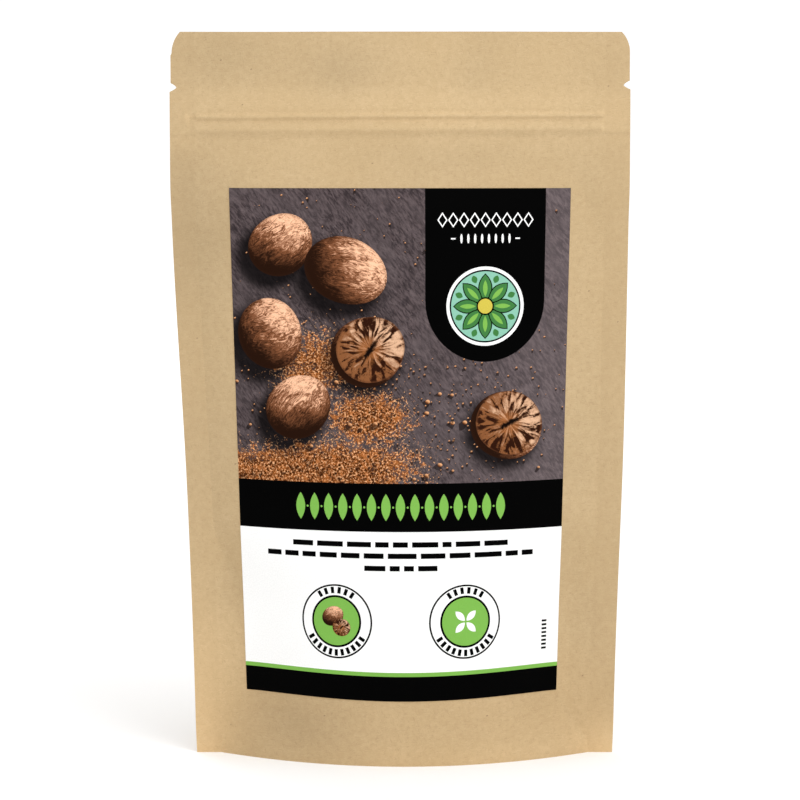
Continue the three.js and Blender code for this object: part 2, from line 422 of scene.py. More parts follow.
def gusset_height(across, along):
    weld = GUSSET_WELD + (GUSSET_FOLD - GUSSET_WELD) * np.abs(across) ** GUSSET_STEEPNESS
    crease = GUSSET_CREASE * (1 - np.abs(along))
    sag = GUSSET_SAG * (1 - across ** 2) * np.sin(np.pi * np.abs(along))
    return weld + crease - sag


def gusset_row(along, up):
    """Points across the base: along is -1 at the front skirt and 1 at the back one, up 0 on the floor."""
    z = up * gusset_height(gusset_columns, along)
    x = sway(z) + gusset_columns * GUSSET_REACH * half_bump(z)
    return np.stack([x, along * (soft_skin(x, z) - SKIRT_WALL), z], axis=-1)


wall_rows = np.linspace(0, 1, GUSSET_WALL_ROWS)
gusset_grid = np.array(
    [gusset_row(-1, up) for up in wall_rows]
    + [gusset_row(along, 1) for along in np.linspace(-1, 1, GUSSET_ROWS)[1:-1]]
    + [gusset_row(1, up) for up in wall_rows[::-1]])
print("gusset points:", gusset_grid.shape[:2])


# %% Sew the grids into one mesh
class Sewing:
    """Collects points and quads, and makes one mesh of them in metres."""

    def __init__(self):
        self.points = []
        self.quads = []
        self.count = 0

    def add(self, points):
        """Adds an array of points and returns their numbers in the same layout."""
        points = np.asarray(points)
        numbers = self.count + np.arange(points[..., 0].size).reshape(points.shape[:-1])
        self.points.append(points.reshape(-1, 3))
        self.count += numbers.size
        return numbers

    def patch(self, numbers):
        """Quads over a grid of point numbers, facing the side that rows x columns turn to."""
        a, b = numbers[:-1, :-1], numbers[:-1, 1:]
        c, d = numbers[1:, 1:], numbers[1:, :-1]
        self.quads.append(np.stack([a, b, c, d], axis=-1).reshape(-1, 4))

    def mesh(self, name):
        made = bpy.data.meshes.new(name)
        made.from_pydata((np.concatenate(self.points) * MM).tolist(), [], np.concatenate(self.quads).tolist())
        made.validate()
        return made


sewing = Sewing()
front = sewing.add(front_grid)
back = sewing.add(back_grid)
under = sewing.add(gusset_grid)
sewing.patch(front)
sewing.patch(back[:, ::-1])
sewing.patch(np.stack([back[:, 0], front[:, 0]], axis=-1))
sewing.patch(np.stack([front[:, -1], back[:, -1]], axis=-1))
sewing.patch(np.stack([front[-1], back[-1]]))

foot = len(seal_columns) - 1 + GUSSET_INSET
far = grid_x.shape[1] - 1 - foot
half = (len(under) + 1) // 2
sewing.patch(under[:, ::-1])
sewing.patch(np.stack([under[:half, 0], under[::-1][:half, 0]], axis=-1))
sewing.patch(np.stack([under[::-1][:half, -1], under[:half, -1]], axis=-1))
sewing.patch(np.stack([under[0], front[0, foot:far + 1]]))
sewing.patch(np.stack([back[0, foot:far + 1], under[-1]]))
sewing.patch(np.stack([back[0, :foot + 1], front[0, :foot + 1]]))
sewing.patch(np.stack([back[0, far:], front[0, far:]]))
sewing.patch(np.array([[back[0, foot], under[-1, 0]], [front[0, foot], under[0, 0]]]))
sewing.patch(np.array([[under[-1, -1], back[0, far]], [under[0, -1], front[0, far]]]))
pouch_mesh = sewing.mesh("kraft_pouch")
print("pouch quads:", len(pouch_mesh.polygons))

# %% [markdown]
# ## Paper coordinates
# Grain and fibres lie in the sheet, so their textures need coordinates along the paper, not through space. A
# UV map in real size does that: u runs across the sheet and v up it. A second map, which fits the unit
# square without overlaps, is for tools that paint the finish into an image.

# %% UV maps of the pouch
PAPER_UNIT = 10.0           # millimetres of paper to one unit of the texture


def add_uv(mesh, name, per_point):
    """A UV map from one pair of values for each point."""
    layer = mesh.uv_layers.new(name=name)
    corners = np.empty(len(mesh.loops), dtype=np.int32)
    mesh.loops.foreach_get("vertex_index", corners)
    layer.data.foreach_set("uv", np.asarray(per_point)[corners].astype(np.float32).ravel())


front_paper = np.stack([grid_x, grid_z], axis=-1).reshape(-1, 2)
back_paper = np.stack([grid_x + 2 * POUCH_WIDTH, grid_z], axis=-1).reshape(-1, 2)
under_paper = gusset_grid[..., :2].reshape(-1, 2) + (0, -2 * POUCH_WIDTH)
paper = np.concatenate([front_paper, back_paper, under_paper])

UNDER_SHARE = 0.16          # part of the bake square left for the underside
MARGIN = 0.01


def into_square(points, low, high):
    """Fits points between two corners of the unit square."""
    least, most = points.min(axis=0), points.max(axis=0)
    return np.array(low) + (points - least) / (most - least) * (np.array(high) - np.array(low))


bake = np.concatenate([
    into_square(front_paper, (MARGIN, UNDER_SHARE + MARGIN), (0.5 - MARGIN, 1 - MARGIN)),
    into_square(back_paper, (0.5 + MARGIN, UNDER_SHARE + MARGIN), (1 - MARGIN, 1 - MARGIN)),
    into_square(under_paper, (MARGIN, MARGIN), (1 - MARGIN, UNDER_SHARE - MARGIN))])
add_uv(pouch_mesh, "OFBake", bake)
add_uv(pouch_mesh, "paper", paper / PAPER_UNIT)

# %% [markdown]
# ### Painted light and shade
# A filled kraft pouch is never one even brown: the foot of each ear catches light, the film beside a dent is
# duller. Noise alone cannot say where, so some thirty soft patches lighten or darken the film's colour:
# painted light and shade, stored at each point. The seals are stored too: pressed paper is a little smoother.

# %% Patches of painted light and shade, and pressed seals
# x, z, half width, half height of each patch on the front, and how much it lightens or darkens the film's
# colour: painted light and shade
PAINTED_LIGHT_AND_SHADE = (
    (-50, 199, 14, 10, -0.08),
    (-17, 195, 11, 8, -0.11),
    (9, 202, 10, 9, 0.06),
    (20, 193, 5, 8, -0.05),
    (40, 200, 12, 9, 0.06),
    (0, 184, 60, 7.5, 0.12),
    (63, 182, 6, 8, 0.06),
    (-30, 171, 22, 6, 0.05),
    (-57, 149, 14, 21, -0.15),
    (12, 166, 16, 8, -0.05),
    (54, 158, 6, 18, -0.04),
    (-53, 85, 10, 24, -0.04),
    (-49, 47, 6, 8, -0.07),
    (53, 100, 7, 34, -0.05),
    (53, 38, 7, 12, -0.06),
    (-58, 3, 9, 38, 0.3),
    (-31, 9.5, 17, 10, -0.16),
    (26, 1, 24, 4, 0.07),
    (60, 0, 9, 10, 0.27),
    (-60.1, 181.9, 0.6, 1.5, 0.18),
    (44, 187.5, 14, 5, 0.025),
    (-42, 187.5, 16, 5, 0.03),
    (-62, 176.5, 5, 3.5, 0.045),
    (-44, 19, 8, 11, 0.045),
    (50, 22, 6, 8, 0.025),
    (15, 2, 46, 4, 0.035),
    (-61, 166, 6, 8, -0.04),
    (-31, 165, 7, 8, -0.035),
    (49, 82, 6, 7, -0.03),
)
SEAL_EASE = 0.8             # the pressed look fades in over this width, millimetres


def store(mesh, name, values, domain="POINT"):
    """Gives every point or face of a mesh a number that its finish can read."""
    mesh.attributes.new(name, "FLOAT", domain).data.foreach_set("value", np.asarray(values, dtype=np.float32))


gusset_points = gusset_grid[..., 0].size
into_seal = np.abs(grid_x - sway(grid_z)) - half_span(grid_z)
in_seal = smooth(into_seal / SEAL_EASE + 0.5).ravel()
# painted light and shade for the front and, mirrored, for the back, stored as the "tone" attribute
painted_shading = [1 + bells(PAINTED_LIGHT_AND_SHADE, x, grid_z).ravel() for x in (grid_x, -grid_x)]
store(pouch_mesh, "pressed", np.concatenate([in_seal, in_seal, np.zeros(gusset_points)]))
store(pouch_mesh, "tone", np.concatenate([*painted_shading, np.ones(gusset_points)]))
print("UV maps:", [layer.name for layer in pouch_mesh.uv_layers], "tone patches:", len(PAINTED_LIGHT_AND_SHADE))

# %% [markdown]
# ## Kraft paper
# Unbleached kraft is a warm light brown with a cloudy tone, short lighter and darker fibres lying every way,
# and a few dark specks. It is matt, with a faint sheen. All of this is built from procedural noise in the
# paper's own coordinates: an image would be simpler, but noise has no seams and holds at any distance.


# %% Helpers for node materials
class Finish:
    """A node material with short calls for the nodes that all finishes share."""

    def __init__(self, name):
        self.material = bpy.data.materials.new(name)
        self.material.use_nodes = True
        self.tree = self.material.node_tree
        self.shader = self.tree.nodes["Principled BSDF"]

    def feed(self, socket, value):
        """Sets a socket to a number or colour, or links an output to it."""
        if isinstance(value, bpy.types.NodeSocket):
            self.tree.links.new(value, socket)
        else:
            socket.default_value = value

    def node(self, kind, *values, **settings):
        """A new node. The values go into its first sockets."""
        made = self.tree.nodes.new(kind)
        for key, setting in settings.items():
            setattr(made, key, setting)
        for socket, value in zip(made.inputs, values):
            self.feed(socket, value)
        return made

    def set(self, **sockets):
        """Sets the sockets of the shader, and returns the finished material."""
        for key, value in sockets.items():
            self.feed(self.shader.inputs[key.replace("_", " ")], value)
        return self.material

    def math(self, operation, *numbers):
        return self.node("ShaderNodeMath", *numbers, operation=operation).outputs[0]

    def vector(self, operation, *vectors):
        made = self.node("ShaderNodeVectorMath", *vectors, operation=operation)
        return made.outputs["Value" if operation in ("DOT_PRODUCT", "LENGTH") else "Vector"]

    def joined(self, *numbers):
        return self.node("ShaderNodeCombineXYZ", *numbers).outputs[0]

    def parts(self, vector):
        return self.node("ShaderNodeSeparateXYZ", vector).outputs

    def between(self, value, low, high, to_low=0.0, to_high=1.0):
        """Eases a value from one range into another."""
        return self.node("ShaderNodeMapRange", value, low, high, to_low, to_high,
                         interpolation_type="SMOOTHSTEP").outputs["Result"]

    def mix(self, share, first, second, blend="MIX"):
        made = self.node("ShaderNodeMix", data_type="RGBA", blend_type=blend)
        for key, value in (("Factor", share), ("A", first), ("B", second)):
            socket = next(s for s in made.inputs if s.name == key and s.enabled)
            self.feed(socket, value)
        return next(s for s in made.outputs if s.enabled)


def linear(red, green, blue):
    """A colour written as it looks on a screen, 0 to 255, as the light values that nodes use."""
    screen = np.array([red, green, blue]) / 255
    light = np.where(screen <= 0.04045, screen / 12.92, ((screen + 0.055) / 1.055) ** 2.4)
    return (*light.tolist(), 1.0)


print("kraft brown as light:", [round(v, 3) for v in linear(208, 180, 138)])


# %% Helpers for paper and print
class PaperFinish(Finish):
    """A finish with patterns that lie in the sheet's own coordinates."""

    def uv(self, name):
        return self.node("ShaderNodeUVMap", uv_map=name).outputs["UV"]

    def value(self, name):
        return self.node("ShaderNodeAttribute", attribute_name=name).outputs["Fac"]

    def turned(self, vector, angle=0.0, length=1.0, shift=(0, 0, 0)):
        """Coordinates in which a texture is stretched by a length along a direction."""
        return self.node("ShaderNodeMapping", vector, shift, (0, 0, angle), (length, 1, 1),
                         vector_type="TEXTURE").outputs["Vector"]

    def noise(self, vector, scale, detail=2.0, roughness=0.5, distortion=0.0, space="2D"):
        made = self.node("ShaderNodeTexNoise", vector, noise_dimensions=space)
        for key, value in (("Scale", scale), ("Detail", detail), ("Roughness", roughness),
                           ("Distortion", distortion)):
            made.inputs[key].default_value = value
        return made.outputs["Fac"]

    def cells(self, vector, scale):
        made = self.node("ShaderNodeTexVoronoi", vector, voronoi_dimensions="2D", feature="F1")
        made.inputs["Scale"].default_value = scale
        return made.outputs

    def away(self, value, level):
        """How far a value is from a level, above or below."""
        return self.math("ABSOLUTE", self.math("SUBTRACT", value, level))

    def tint(self, tone, amount, share, colour):
        """Lays a screen colour over a tone, as far as a share of an amount."""
        return self.mix(self.math("MULTIPLY", amount, share), tone, linear(*colour))

    def layers(self, tone, *rows):
        """Lays screen colours over a tone, each up to its share as a value goes from low to high."""
        for value, low, high, share, colour in rows:
            tone = self.mix(self.between(value, low, high, 0.0, share), tone, linear(*colour))
        return tone

    def bump(self, height, distance, strength):
        made = self.node("ShaderNodeBump")
        for key, value in (("Height", height), ("Distance", distance), ("Strength", strength)):
            self.feed(made.inputs[key], value)
        self.feed(self.shader.inputs["Normal"], made.outputs["Normal"])


print("calls for paper and print:", [name for name in vars(PaperFinish) if name[0] != "_"])

# %% Kraft finish
FIBRE_ANGLES = (0.05, -0.2, 1.9, 0.5)
FIBRE_COLOURS = ((160, 132, 94), (211, 188, 150))
WARM_HEIGHT = 7.0           # below this, in units of the texture, the film grows warmer
WARM_FOOT = (1.0, 0.98, 0.955, 1.0)
SHARP_ANGLE = math.radians(50)


def kraft_finish():
    kraft = PaperFinish("kraft_paper")
    sheet = kraft.uv("paper")
    cloud = kraft.between(kraft.noise(sheet, 0.42, 3), 0.3, 0.7)
    tone = kraft.mix(cloud, linear(191, 165, 125), linear(197, 171, 131))
    mottle = kraft.between(kraft.noise(sheet, 5.5, 4, 0.6), 0.34, 0.66)
    tone = kraft.tint(tone, mottle, 0.4, (184, 157, 118))

    grain = kraft.noise(sheet, 30.0, 3, 0.6)
    for number, angle in enumerate(FIBRE_ANGLES):
        along = kraft.turned(sheet, angle, 8.0, (7.3 * number, 3.1, 0))
        strands = kraft.between(kraft.noise(along, 48.0, 2, 0.55, 0.4), 0.58, 0.76)
        tone = kraft.tint(tone, strands, 0.36, FIBRE_COLOURS[number % 2])
        grain = kraft.math("ADD", grain, strands)

    speck_distance = kraft.cells(kraft.turned(sheet, 0.5, 1.5), 0.85)["Distance"]
    speck = kraft.between(speck_distance, 0.022, 0.010, 0.0, 0.5)
    tone = kraft.tint(tone, speck, kraft.between(kraft.noise(sheet, 0.9, 1), 0.54, 0.58), (112, 84, 54))
    tone = kraft.tint(tone, kraft.value("pressed"), 0.2, (181, 154, 115))
    warmth = kraft.mix(kraft.between(kraft.parts(sheet)[1], WARM_HEIGHT, 0.0), (1, 1, 1, 1), WARM_FOOT)
    tone = kraft.mix(1.0, tone, warmth, "MULTIPLY")
    # painted light and shade: the colour is multiplied by the patches that lighten or darken the film
    patch = kraft.value("tone")
    tone = kraft.vector("MULTIPLY", tone, kraft.joined(patch, patch, patch))
    kraft.bump(grain, 0.00003, 0.6)
    return kraft.set(Base_Color=tone, Roughness=kraft.math("MULTIPLY_ADD", mottle, 0.08, 0.66),
                     Sheen_Weight=0.03, Sheen_Roughness=0.5, Specular_IOR_Level=0.2)


def smoothed(mesh):
    mesh.shade_smooth()
    mesh.set_sharp_from_angle(angle=SHARP_ANGLE)
    return mesh


pouch_mesh.materials.append(kraft_finish())
kraft_pouch = placed("kraft_pouch", smoothed(pouch_mesh))
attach(kraft_pouch, "root")
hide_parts("pouch")
print("kraft nodes:", len(pouch_mesh.materials[0].node_tree.nodes))

# %% [markdown]
# ## The printed label
# The label is one sheet of coated paper. Its print could be an image, but an image blurs when it is seen
# close up. Here each field of colour is an outline on the flat sheet. The outlines are cut into one flat
# triangle mesh, each triangle takes the ink of the topmost field that it lies in, and only then is the sheet
# bent onto the front of the pouch. So every printed edge stays sharp, and bends with the paper.
#
# Places on the sheet are (a, h): a runs along the paper from its middle line, h is the height over the floor.

# %% Outlines to draw with
LABEL_HALF = (label_high[0] - label_low[0]) / 2
LABEL_BOTTOM, LABEL_TOP = 18.5, 162.3
PICTURE_BOTTOM = 80.0
BAND_BOTTOM = 66.4
STRIPE_TOP, STRIPE_BOTTOM = 26.65, 25.5


def box(a_low, a_high, h_low, h_high):
    return np.array([(a_low, h_low), (a_high, h_low), (a_high, h_high), (a_low, h_high)])


def rotated(points, turn):
    """Points turned about the origin."""
    return points @ np.array([[np.cos(turn), np.sin(turn)], [-np.sin(turn), np.cos(turn)]])


def oval(a, h, half_wide, half_tall, turn=0.0, points=48, wobble=0.0, seed=0):
    """An oval outline. A wobble makes it as uneven as a nut."""
    angle = np.linspace(0, 2 * np.pi, points, endpoint=False)
    uneven = 1 + wobble * (np.sin(2 * angle + seed) + 0.6 * np.sin(3 * angle + 2.3 * seed))
    flat = np.stack([half_wide * np.cos(angle) * uneven, half_tall * np.sin(angle) * uneven], axis=-1)
    return rotated(flat, turn) + (a, h)


def leaf(a, h, length, width, turn=0.0, reach=0.0, points=9):
    """A pointed oval that stands upright at turn 0, at a reach from its place along its turn."""
    along = np.linspace(0, 1, points)
    side = np.sin(np.pi * along) ** 0.8 * width / 2
    right = np.stack([side, along * length], axis=-1)
    left = np.stack([-side, along * length], axis=-1)[-2:0:-1]
    flat = np.concatenate([right, left]) - (0, length / 2)
    return rotated(flat, turn) + (a - reach * np.sin(turn), h + reach * np.cos(turn))


print("label, mm:", round(2 * LABEL_HALF, 1), "x", round(LABEL_TOP - LABEL_BOTTOM, 1))

# %% Printing the outlines
LONGEST_EDGE = 1.9          # a longer straight edge could not bend with the film

# (ink, outline, motif) in the order of printing
# A motif is (a, h, half width, half height, turn): an ink that shades it finds its place in it by them.
prints = []


def dense(outline):
    """The outline with points added along its long edges."""
    pieces = []
    for start, end in zip(outline, np.roll(outline, -1, axis=0)):
        count = math.ceil(math.dist(start, end) / LONGEST_EDGE)
        pieces.append(start + (end - start) * np.linspace(0, 1, count + 1)[:-1, None])
    return np.concatenate(pieces)


def ink(name, outline, motif=None):
    prints.append((name, dense(outline), motif))


def disc(name, a, h, radius, points=72):
    ink(name, oval(a, h, radius, radius, points=points))


def in_row(count, pitch, middle=0.0):
    """Evenly spaced places on both sides of a middle."""
    return [middle + pitch * (number - (count - 1) / 2) for number in range(count)]


print("a row of three:", in_row(3, 2.0))

# %% [markdown]
# ### The picture field
# The upper half shows nutmegs on dark slate: whole ones, cut ones with their marbled face, and a drift of
# ground spice. Each nut is an uneven oval that carries its own small coordinate frame, so that one ink can
# shade every nut as a round body, lit from the upper right. Their places are chosen for balance.

# %% Nuts on slate
# a, h, half width, half height, turn
WHOLE_NUTS = (
    (-34.0, 146.5, 9.6, 8.4, 0.5),
    (-15.5, 139.5, 11.8, 9.4, -0.35),
    (-37.5, 121.5, 9.2, 10.2, 0.15),
    (-29.5, 101.0, 9.9, 8.6, 0.7),
)
CUT_NUTS = (
    (-8.5, 117.5, 9.8, 9.2, 0.1),
    (31.5, 96.5, 9.8, 9.0, -0.4),
)
SKIN_BELOW = (-0.9, -0.7, 0.7, 0.6, 0.0)        # how the skin below a cut face differs from the face
NUT_WOBBLE = 0.018


def print_nut(name, nut, seed):
    ink(name, oval(*nut, wobble=NUT_WOBBLE, seed=seed), nut)


ink("slate", box(-LABEL_HALF, LABEL_HALF, PICTURE_BOTTOM, LABEL_TOP))
for number, nut in enumerate(WHOLE_NUTS):
    print_nut("nut_skin", nut, number)
for number, nut in enumerate(CUT_NUTS):
    print_nut("nut_skin", tuple(size + more for size, more in zip(nut, SKIN_BELOW)), number)
    print_nut("nut_cut", nut, number)
print("nuts:", len(WHOLE_NUTS) + len(CUT_NUTS))

# %% [markdown]
# ### Tab, bands and ornaments
# A black tab with a round end hangs from the top of the label, and black bands close the picture and the
# foot. The names that a shop would print there are left off. Their places hold plain ornament of the same
# size: a ringed rosette and two trims in the tab, a row of leaves in the band, and short bars on the white.

# %% Tab with its rosette
TAB_MIDDLE = 24.2
TAB_RADIUS = 17.1
TAB_END = 113.9
TAB_POINTS = 33
ROSETTE = (TAB_MIDDLE, 129.5)
RINGS = (("white", 11.1), ("black", 10.2), ("mint", 9.75))
PETALS = 8
# ink, length, width and reach of the parts of a petal, and of the bud beside it
PETAL_PARTS = (("black", 8.0, 4.1, 5.2), ("deep_green", 7.3, 3.5, 5.2), ("leaf_green", 4.6, 1.3, 5.0))
BUD_SIZE, BUD_REACH = (2.3, 1.7), 8.1
EYE = (("black", 2.5), ("yellow", 2.1))
EYE_POINTS = 32

tab_turn = np.linspace(np.pi, 2 * np.pi, TAB_POINTS)
tab_arc = np.stack([TAB_MIDDLE + TAB_RADIUS * np.cos(tab_turn),
                    TAB_END + TAB_RADIUS * (1 + np.sin(tab_turn))], axis=-1)
tab_top = [(TAB_MIDDLE + TAB_RADIUS, LABEL_TOP), (TAB_MIDDLE - TAB_RADIUS, LABEL_TOP)]
ink("black", np.concatenate([tab_arc, tab_top]))
for name, radius in RINGS:
    disc(name, *ROSETTE, radius)
for petal in range(PETALS):
    turn = 2 * np.pi * petal / PETALS
    for name, length, width, reach in PETAL_PARTS:
        ink(name, leaf(*ROSETTE, length, width, turn, reach))
    ink("deep_green", leaf(*ROSETTE, *BUD_SIZE, turn + np.pi / PETALS, BUD_REACH))
for name, radius in EYE:
    disc(name, *ROSETTE, radius, EYE_POINTS)
print("prints with the rosette:", len(prints))

# %% Trims of the tab
UPPER_TRIM, DIAMONDS, DIAMOND_PITCH = 153.6, 9, 3.05
DIAMOND, DIAMOND_HOLE = (1.45, 2.1), (1.03, 1.55)
LOWER_TRIM, BEADS, BEAD_PITCH = 148.4, 8, 1.95
BEAD, BEAD_POINTS = (0.34, 1.35), 12
DASH = (8.5, 9.8)           # from and to, off the middle of the tab
DASH_HALF_HEIGHT = 0.2

for at in in_row(DIAMONDS, DIAMOND_PITCH, TAB_MIDDLE):
    ink("white", oval(at, UPPER_TRIM, *DIAMOND, points=4))
    ink("black", oval(at, UPPER_TRIM, *DIAMOND_HOLE, points=4))
for at in in_row(BEADS, BEAD_PITCH, TAB_MIDDLE):
    ink("white", oval(at, LOWER_TRIM, *BEAD, points=BEAD_POINTS))
for side in (-1, 1):
    ends = sorted(TAB_MIDDLE + side * end for end in DASH)
    ink("white", box(*ends, LOWER_TRIM - DASH_HALF_HEIGHT, LOWER_TRIM + DASH_HALF_HEIGHT))
print("prints with the trims:", len(prints))

# %% Bands and the row of leaves
# ink, foot and top of each band across the whole label
BANDS = (
    ("black", BAND_BOTTOM, PICTURE_BOTTOM),
    ("white", STRIPE_TOP, BAND_BOTTOM),
    ("leaf_green", STRIPE_BOTTOM, STRIPE_TOP),
    ("black", LABEL_BOTTOM, STRIPE_BOTTOM),
)
LEAF_ROW, LEAVES, LEAF_PITCH = 73.3, 15, 4.15
LEAF_SIZE = (7.6, 2.7)
DOT_RADIUS, DOT_POINTS = 0.3, 14

for name, low, high in BANDS:
    ink(name, box(-LABEL_HALF, LABEL_HALF, low, high))
for number, at in enumerate(in_row(LEAVES, LEAF_PITCH)):
    ink("leaf_green", leaf(at, LEAF_ROW, *LEAF_SIZE))
    if number < LEAVES - 1:
        disc("leaf_green", at + LEAF_PITCH / 2, LEAF_ROW, DOT_RADIUS, DOT_POINTS)
print("prints so far:", len(prints))

# %% Rows of bars on the white field
# height, start and end of each row
ROWS_OF_BARS = ((62.8, -31.5, 32.7), (59.6, -39.5, 39.8), (56.1, -10.3, 10.5))
BAR_HEIGHT = 1.5
BAR_LENGTHS = (2.6, 8.2)
BAR_GAP = 1.2
LEAST_BAR = 2.2
CODE_FOOT, CODE_TICKS, CODE_PITCH = 30.8, 8, 1.12
CODE_SIDES = (42.8, 44.4)
TICK_HEIGHT = 0.6
bar_lengths = np.random.default_rng(7)

for height, start, end in ROWS_OF_BARS:
    at = start
    while at < end:
        length = min(bar_lengths.uniform(*BAR_LENGTHS), end - at)
        if length > LEAST_BAR:
            ink("black", box(at, at + length, height - BAR_HEIGHT / 2, height + BAR_HEIGHT / 2))
        at += length + BAR_GAP
for number in range(CODE_TICKS):
    low = CODE_FOOT + number * CODE_PITCH
    ink("black", box(*CODE_SIDES, low, low + TICK_HEIGHT))
print("prints with the bars:", len(prints))

# %% Two roundels
LEFT_ROUNDEL, RIGHT_ROUNDEL = (-18.6, 40.65), (18.45, 40.65)
ROUNDEL_RINGS = (("black", 10.6), ("white", 10.1), ("black", 7.45), ("leaf_green", 6.85))
MARKS_RADIUS = 8.925
# first and last angle in degrees and number of the marks above and below
MARKS = ((58, 122, 6), (212, 328, 11))
MARK = oval(0, 0, 0.85, 0.85, np.pi / 4, points=4) * (0.8, 1.55)
SMALL_NUT, SMALL_CUT = (-1.0, 1.4, 3.4, 2.7, 0.5), (1.6, -1.7, 2.7, 2.5, 0.0)
SMALL_POINTS = 32
SMALL_PETALS, SMALL_PETAL, SMALL_PETAL_REACH = 4, (3.9, 1.9), 2.3


def roundel(middle):
    """A white ring between two thin black lines, round a green disc, with marks above and below."""
    for name, radius in ROUNDEL_RINGS:
        disc(name, *middle, radius)
    for angle in np.concatenate([np.radians(np.linspace(*run)) for run in MARKS]):
        place = np.array(middle) + MARKS_RADIUS * np.array([np.cos(angle), np.sin(angle)])
        ink("black", rotated(MARK, angle - np.pi / 2) + place)


for middle in (LEFT_ROUNDEL, RIGHT_ROUNDEL):
    roundel(middle)
for name, (off_a, off_h, *shape) in (("nut_skin", SMALL_NUT), ("nut_cut", SMALL_CUT)):
    nut = (LEFT_ROUNDEL[0] + off_a, LEFT_ROUNDEL[1] + off_h, *shape)
    ink(name, oval(*nut, points=SMALL_POINTS), nut)
for petal in range(SMALL_PETALS):
    turn = np.pi * (2 * petal + 1) / SMALL_PETALS
    ink("white", leaf(*RIGHT_ROUNDEL, *SMALL_PETAL, turn, SMALL_PETAL_REACH))
print("prints:", len(prints))

# %% [markdown]
# ### Cutting the flat sheet
# A constrained triangulation takes all the outlines and a loose grid of points between them, and returns
# triangles that never cross an outline. The grid is there so that the sheet can bend smoothly later.

# %% Cut the outlines into triangles
SHEET_GRID = 1.9
BORDER_GAP = 0.3            # between the border and the nearest loose point
KEEP_INSIDE = 1             # asks the triangulation for what lies inside the border alone
CUT_TOLERANCE = 1e-5


def sheet_points():
    """Border points, loose inner points and all outlines, with the edges that must be kept."""
    points, edges = [], []

    def loop(outline):
        first = len(points)
        points.extend(map(tuple, outline))
        count = len(outline)
        edges.extend((first + k, first + (k + 1) % count) for k in range(count))

    across = steps(-LABEL_HALF, LABEL_HALF, SHEET_GRID)
    up = steps(LABEL_BOTTOM, LABEL_TOP, SHEET_GRID)
    border = [(a, LABEL_BOTTOM) for a in across[:-1]] + [(LABEL_HALF, h) for h in up[:-1]]
    border += [(a, LABEL_TOP) for a in across[:0:-1]] + [(-LABEL_HALF, h) for h in up[:0:-1]]
    loop(border)
    inner = np.stack(np.meshgrid(across[1:-1], up[1:-1]), axis=-1)
    inner[1::2, :, 0] += (across[1] - across[0]) / 2
    inner = inner.reshape(-1, 2)
    points.extend(map(tuple, inner[inner[:, 0] < LABEL_HALF - BORDER_GAP]))
    for _, outline, _ in prints:
        loop(outline)
    return points, edges


points, edges = sheet_points()
cut_points, _, cut_faces, *_ = delaunay_2d_cdt(
    [Vector(p) for p in points], edges, [], KEEP_INSIDE, CUT_TOLERANCE, False)
flat = np.array([tuple(p) for p in cut_points])
faces = np.array([tuple(f) for f in cut_faces if len(f) == 3])
print("flat sheet:", len(flat), "points", len(faces), "triangles")


# %% Give each triangle its ink
def inside(outline, at):
    """Which of the places lie inside a closed outline, by counting crossings."""
    low, high = outline.min(axis=0), outline.max(axis=0)
    near = np.flatnonzero(np.all((at >= low) & (at <= high), axis=1))
    hit = np.zeros(len(near), dtype=bool)
    a, h = at[near, 0], at[near, 1]
    for (a0, h0), (a1, h1) in zip(outline, np.roll(outline, -1, axis=0)):
        if h0 != h1:
            crosses = (h0 > h) != (h1 > h)
            hit ^= crosses & (a < (a1 - a0) * (h - h0) / (h1 - h0) + a0)
    return near[hit]


NO_MOTIF = -1
middles = flat[faces].mean(axis=1)
ink_names = list(dict.fromkeys(name for name, _, _ in prints))
face_ink = np.zeros(len(faces), dtype=np.int32)
face_motif = np.full(len(faces), NO_MOTIF, dtype=np.int32)
motifs = []
for name, outline, motif in prints:
    covered = inside(outline, middles)
    face_ink[covered] = ink_names.index(name)
    face_motif[covered] = NO_MOTIF if motif is None else len(motifs)
    if motif is not None:
        motifs.append(motif)
print({name: int((face_ink == k).sum()) for k, name in enumerate(ink_names)})

# %% Bend the sheet onto the film
LABEL_THICK = 0.16
LABEL_LIFT = 0.05
WALK_STEP = 0.4
WALK_END = 1e-6
NORMAL_REACH = 0.5
SHEET_EDGES = ((-43.75, 44.6), (-48.35, 48.3))    # x of the side edges at the foot and at the top


def slope_across(x, z, reach):
    return (front_film(x + reach, z) - front_film(x - reach, z)) / (2 * reach)


def x_along_film(a, z):
    """The x reached by walking a distance a along the film at height z."""
    x = np.zeros_like(a)
    left = np.abs(a)
    while left.max() > WALK_END:
        step = np.minimum(WALK_STEP, left)
        x = x + np.sign(a) * step / np.sqrt(1 + slope_across(x, z, WALK_STEP) ** 2)
        left = left - step
    return x


def film_normal(x, z):
    slope_up = (front_film(x, z + NORMAL_REACH) - front_film(x, z - NORMAL_REACH)) / (2 * NORMAL_REACH)
    normal = np.stack([slope_across(x, z, NORMAL_REACH), -np.ones_like(x), slope_up], axis=-1)
    return normal / np.linalg.norm(normal, axis=1, keepdims=True)


def x_on_pouch(a, z):
    """The walk along the film, drawn in or out so that the sheet's side edges run straight."""
    rise = (z - LABEL_BOTTOM) / (LABEL_TOP - LABEL_BOTTOM)
    wanted = [low + (high - low) * rise for low, high in zip(*SHEET_EDGES)]
    walked = [x_along_film(np.full_like(z, end), z) for end in (-LABEL_HALF, LABEL_HALF)]
    share = (x_along_film(a, z) - walked[0]) / (walked[1] - walked[0])
    return wanted[0] + (wanted[1] - wanted[0]) * share


